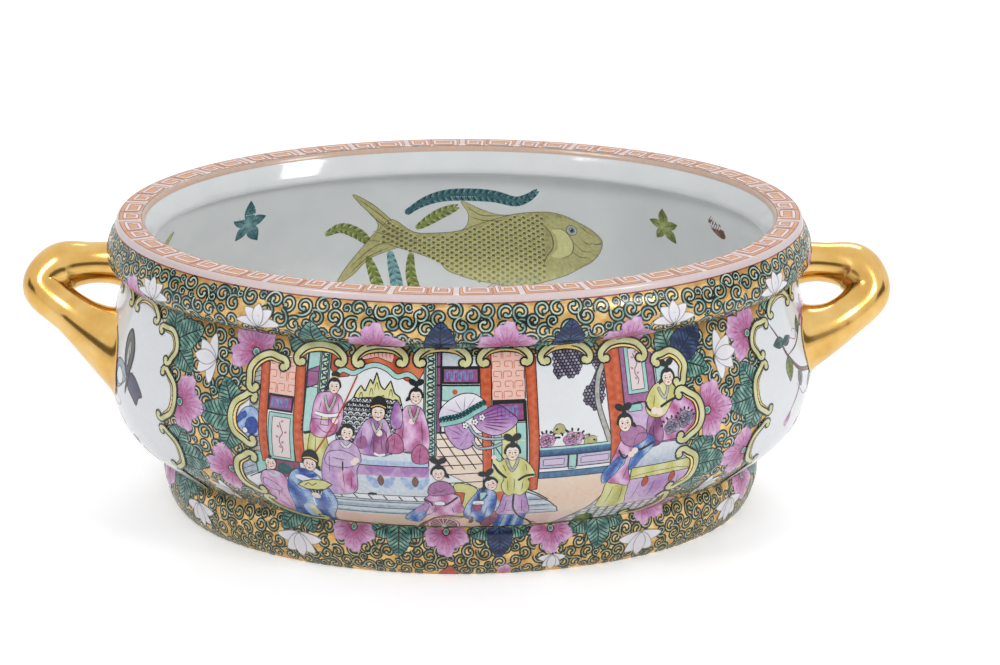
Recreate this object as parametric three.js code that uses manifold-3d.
// Oval porcelain foot bath with two loop handles.
// Millimetres, +Z up. The origin is the centre of the basin's plan, on the surface that the foot stands on.
// +X runs along the long side to the right handle, and -Y faces the viewer.
import * as THREE from "three";
import { mergeVertices } from "three/addons/utils/BufferGeometryUtils.js";
import Module from "manifold-3d";

// Driving dimensions
const HEIGHT = 186; // foot to the crest of the lip
const PLAN_EXTRA = 59; // how much longer each half-length is than the half-depth at the same height
const WALL = 8; // wall thickness, square to the surface
const JOINT_GAP = 0.3; // slip joint between two clay pieces
const SIDES = 64; // straight facets round the oval

// Heights of the slip joints
const RECESS_TOP = 24;
const CREASE = 32.8; // foot ring to wall, outside
const NECK = 153.8; // wall to collar, outside
const LIP_SEAT = 179; // collar to lip, outside

// Half-lengths along X; the half-depth along Y is PLAN_EXTRA less
const FLOOR_EDGE = 158;
const FOOT_INNER = 167;
const FOOT_SEAT = 171; // inner edge of the foot ring's top
const FOOT_OUTER = 176;
const FOOT_SWELL = 184.2;
const CREASE_LENGTH = 181.8;
const SHOULDER = 204.3;
const BELLY = 215.8;
const NECK_LENGTH = 202.5;
const ROLL_LENGTH = 212.8;
const LIP_OUTER = 207.2;
const LIP_INNER = 189.5;
const SKIRT_INNER = 184; // the narrowest place of the mouth
const SKIRT_BACK = 192.7; // where the skirt meets the collar's inside

// Floor, wall and lip details
const FLOOR_TOP = 32;
const COVE_LENGTH = 177; // where the cove between floor and wall turns upwards
const COVE_END = 46; // height where it runs into the wall's inside
const NECK_BLEND = 4; // the inside goes straight to the neck over this height
const OUTER_BAND = 1.7; // plan width of the sloping outer edge of the lip
const OUTER_DROP = 3.8;
const LIP_LEAN = 1.3; // how much wider the pot is at the lip's seat than at its edge
const INNER_BAND = 1.8;
const INNER_DROP = 3.4;
const SKIRT_WAIST = 171; // height of the narrowest place
const SKIRT_BOTTOM = 167.4;

// Handles, each in one plane: centreline as [distance from the middle, height, tube radius] before the plane leans
const HANDLE_LEFT = [
  [192, 151.5, 14.3],
  [224.9, 153.4, 12.7],
  [244.4, 150, 15.4],
  [254.2, 138.1, 13.6],
  [232.8, 117, 13.8],
  [188, 87, 27.5],
];
const HANDLE_RIGHT = [
  [192, 152.5, 14.3],
  [222.5, 153.6, 12.1],
  [242, 149.4, 15.2],
  [249.4, 134.8, 13.7],
  [230, 114.4, 13.8],
  [188, 97.6, 26],
];
const HANDLE_LEAN = 42; // degrees: the upper root moves to the back and the lower root to the front
const LEAN_HEIGHT = 128.5; // height of the line along X that each plane leans about
const HANDLE_SIDES = 20;
const HANDLE_STEPS = 30;

const wasm = await Module();
wasm.setup();

const porcelain = new THREE.Color(0xe9ebea);
const gilt = new THREE.Color(0xc9962c);

function at(halfLength, height) {
  return new THREE.Vector2(halfLength - PLAN_EXTRA, height);
}

// A smooth curve through hand-set points, as evenly spaced points
function smooth(points, steps) {
  return new THREE.SplineCurve(points).getSpacedPoints(steps);
}

// The same line moved sideways: to its left for a positive distance
function offset(points, distance) {
  return points.map((point, i) => {
    const before = points[Math.max(i - 1, 0)];
    const after = points[Math.min(i + 1, points.length - 1)];
    const along = after.clone().sub(before).normalize();
    return new THREE.Vector2(point.x - along.y * distance, point.y + along.x * distance);
  });
}

// Turns a closed profile, listed so that its solid lies to the left, and widens the turned ring to the oval plan.
// Inside the floor's edge the extra length tapers off towards the axis.
function ovalRing(profile) {
  const geometry = new THREE.LatheGeometry([...profile, profile[0]], SIDES);
  const position = geometry.getAttribute("position");
  const floorRadius = FLOOR_EDGE - PLAN_EXTRA;
  for (let i = 0; i < position.count; i++) {
    const across = position.getX(i);
    const along = position.getZ(i);
    const height = position.getY(i);
    const radius = Math.max(Math.hypot(across, along), floorRadius);
    position.setXYZ(i, along * (1 + PLAN_EXTRA / radius), across, height);
  }
  return closed(geometry);
}

// Merges a geometry's shared vertices and drops the triangles that merging has flattened
function closed(geometry) {
  geometry.deleteAttribute("normal");
  geometry.deleteAttribute("uv");
  const merged = mergeVertices(geometry, 1e-3);
  const index = merged.index.array;
  const kept = [];
  for (let i = 0; i < index.length; i += 3) {
    const [a, b, c] = [index[i], index[i + 1], index[i + 2]];
    if (a !== b && b !== c && c !== a) kept.push(a, b, c);
  }
  merged.setIndex(kept);
  return merged;
}

function solid(geometry) {
  return new wasm.Manifold(
    new wasm.Mesh({
      numProp: 3,
      vertProperties: new Float32Array(geometry.getAttribute("position").array),
      triVerts: new Uint32Array(geometry.index.array),
    }),
  );
}

function geometryOf(cutSolid) {
  const mesh = cutSolid.getMesh();
  const geometry = new THREE.BufferGeometry();
  geometry.setAttribute("position", new THREE.BufferAttribute(mesh.vertProperties, mesh.numProp));
  geometry.setIndex(new THREE.BufferAttribute(mesh.triVerts, 1));
  return geometry;
}

// Outer lines of the pot, from the foot up
const footOutside = smooth(
  [at(FOOT_OUTER, 0), at(179.2, 4), at(181.8, 10), at(FOOT_SWELL, 20), at(183.9, 28), at(CREASE_LENGTH, CREASE)],
  9,
);
const wallOutside = smooth(
  [
    at(CREASE_LENGTH, CREASE + JOINT_GAP),
    at(SHOULDER, 54.6),
    at(213, 75.2),
    at(BELLY, 99.4),
    at(210.4, 124),
    at(NECK_LENGTH, NECK),
  ],
  15,
);
const collarOutside = smooth(
  [
    at(NECK_LENGTH, NECK + JOINT_GAP),
    at(207.5, 156),
    at(212.2, 161),
    at(ROLL_LENGTH, 167),
    at(210.8, 174.5),
    at(LIP_OUTER + LIP_LEAN, LIP_SEAT),
  ],
  9,
);

function basinFloor() {
  const rim = FLOOR_EDGE - JOINT_GAP;
  return [
    new THREE.Vector2(0, FLOOR_TOP),
    new THREE.Vector2(0, RECESS_TOP),
    at(rim, RECESS_TOP),
    at(rim, FLOOR_TOP),
  ];
}

// The wall's inside runs up from a cove at the floor's edge, and follows the outside a wall's thickness away
function basinWall() {
  const inside = offset(wallOutside, WALL).filter((point) => point.y > COVE_END && point.y < NECK - NECK_BLEND);
  const floorJoint = at(FLOOR_EDGE, FLOOR_TOP);
  const cove = new THREE.QuadraticBezierCurve(floorJoint, at(COVE_LENGTH, FLOOR_TOP), inside[0]).getPoints(5);
  return [
    ...wallOutside,
    at(NECK_LENGTH - WALL, NECK),
    ...inside.reverse(),
    ...cove.reverse().slice(1),
    at(FLOOR_EDGE, RECESS_TOP),
    at(FOOT_SEAT, RECESS_TOP),
  ];
}

function footRing() {
  return [...footOutside, at(FOOT_SEAT, RECESS_TOP - JOINT_GAP), at(FOOT_INNER, 0)];
}

function rimCollar() {
  const back = SKIRT_BACK + JOINT_GAP;
  return [...collarOutside, at(back, LIP_SEAT), at(back, SKIRT_BOTTOM), at(NECK_LENGTH - WALL, NECK + JOINT_GAP)];
}

function lipRing() {
  const seat = LIP_SEAT + JOINT_GAP;
  const edge = at(LIP_OUTER, HEIGHT - OUTER_DROP);
  const crestOuter = at(LIP_OUTER - OUTER_BAND, HEIGHT);
  const crestInner = at(LIP_INNER + INNER_BAND, HEIGHT);
  const skirt = smooth(
    [
      at(LIP_INNER, HEIGHT - INNER_DROP),
      at(186.5, 177),
      at(SKIRT_INNER, SKIRT_WAIST),
      at(185.2, 168.4),
      at(187.6, SKIRT_BOTTOM),
    ],
    9,
  );
  const top = [at(LIP_OUTER + LIP_LEAN, seat), edge, crestOuter, crestInner];
  return [...top, ...skirt, at(SKIRT_BACK, SKIRT_BOTTOM), at(SKIRT_BACK, seat)];
}

// The filled pot, a joint's gap larger all round: what the handle roots are trimmed with
function trimmingPot() {
  const outside = offset([...wallOutside, ...collarOutside.slice(1)], -JOINT_GAP);
  const middleLow = new THREE.Vector2(0, outside[0].y);
  const middleHigh = new THREE.Vector2(0, outside.at(-1).y);
  return solid(ovalRing([middleLow, ...outside, middleHigh]));
}

// A straight capped cylinder bent along the handle's centreline, with its own radius at each step, then leaned
function handle(stations, side) {
  const points = stations.map(([x, z]) => new THREE.Vector3(side * x, 0, z));
  const centre = new THREE.CatmullRomCurve3(points, false, "centripetal");
  const girth = new THREE.SplineCurve(stations.map(([, , radius], i) => new THREE.Vector2(i, radius)));
  const tube = new THREE.CylinderGeometry(1, 1, 1, HANDLE_SIDES, HANDLE_STEPS);
  const position = tube.getAttribute("position");
  for (let i = 0; i < position.count; i++) {
    const t = position.getY(i) + 0.5;
    const middle = centre.getPoint(t);
    const tangent = centre.getTangent(t);
    const radius = girth.getPoint(t).y;
    const lateral = position.getX(i) * radius;
    const depth = position.getZ(i) * radius;
    position.setXYZ(i, middle.x + tangent.z * lateral, -depth, middle.z - tangent.x * lateral);
  }
  tube.translate(0, 0, -LEAN_HEIGHT);
  tube.rotateX(THREE.MathUtils.degToRad(-HANDLE_LEAN));
  tube.translate(0, 0, LEAN_HEIGHT);
  return geometryOf(solid(closed(tube)).subtract(trimmingPot()));
}

function piece(name, geometry, colour, roughness, metalness) {
  const material = new THREE.MeshStandardMaterial({ color: colour, roughness, metalness });
  const mesh = new THREE.Mesh(geometry, material);
  mesh.name = name;
  return mesh;
}

const footBath = new THREE.Group();
footBath.add(
  piece("basin_floor", ovalRing(basinFloor()), porcelain, 0.12, 0),
  piece("basin_wall", ovalRing(basinWall()), porcelain, 0.12, 0),
  piece("foot_ring", ovalRing(footRing()), porcelain, 0.2, 0),
  piece("rim_collar", ovalRing(rimCollar()), porcelain, 0.12, 0),
  piece("lip_ring", ovalRing(lipRing()), porcelain, 0.12, 0),
  piece("handle_left", handle(HANDLE_LEFT, -1), gilt, 0.15, 1),
  piece("handle_right", handle(HANDLE_RIGHT, 1), gilt, 0.15, 1),
);

export default footBath;
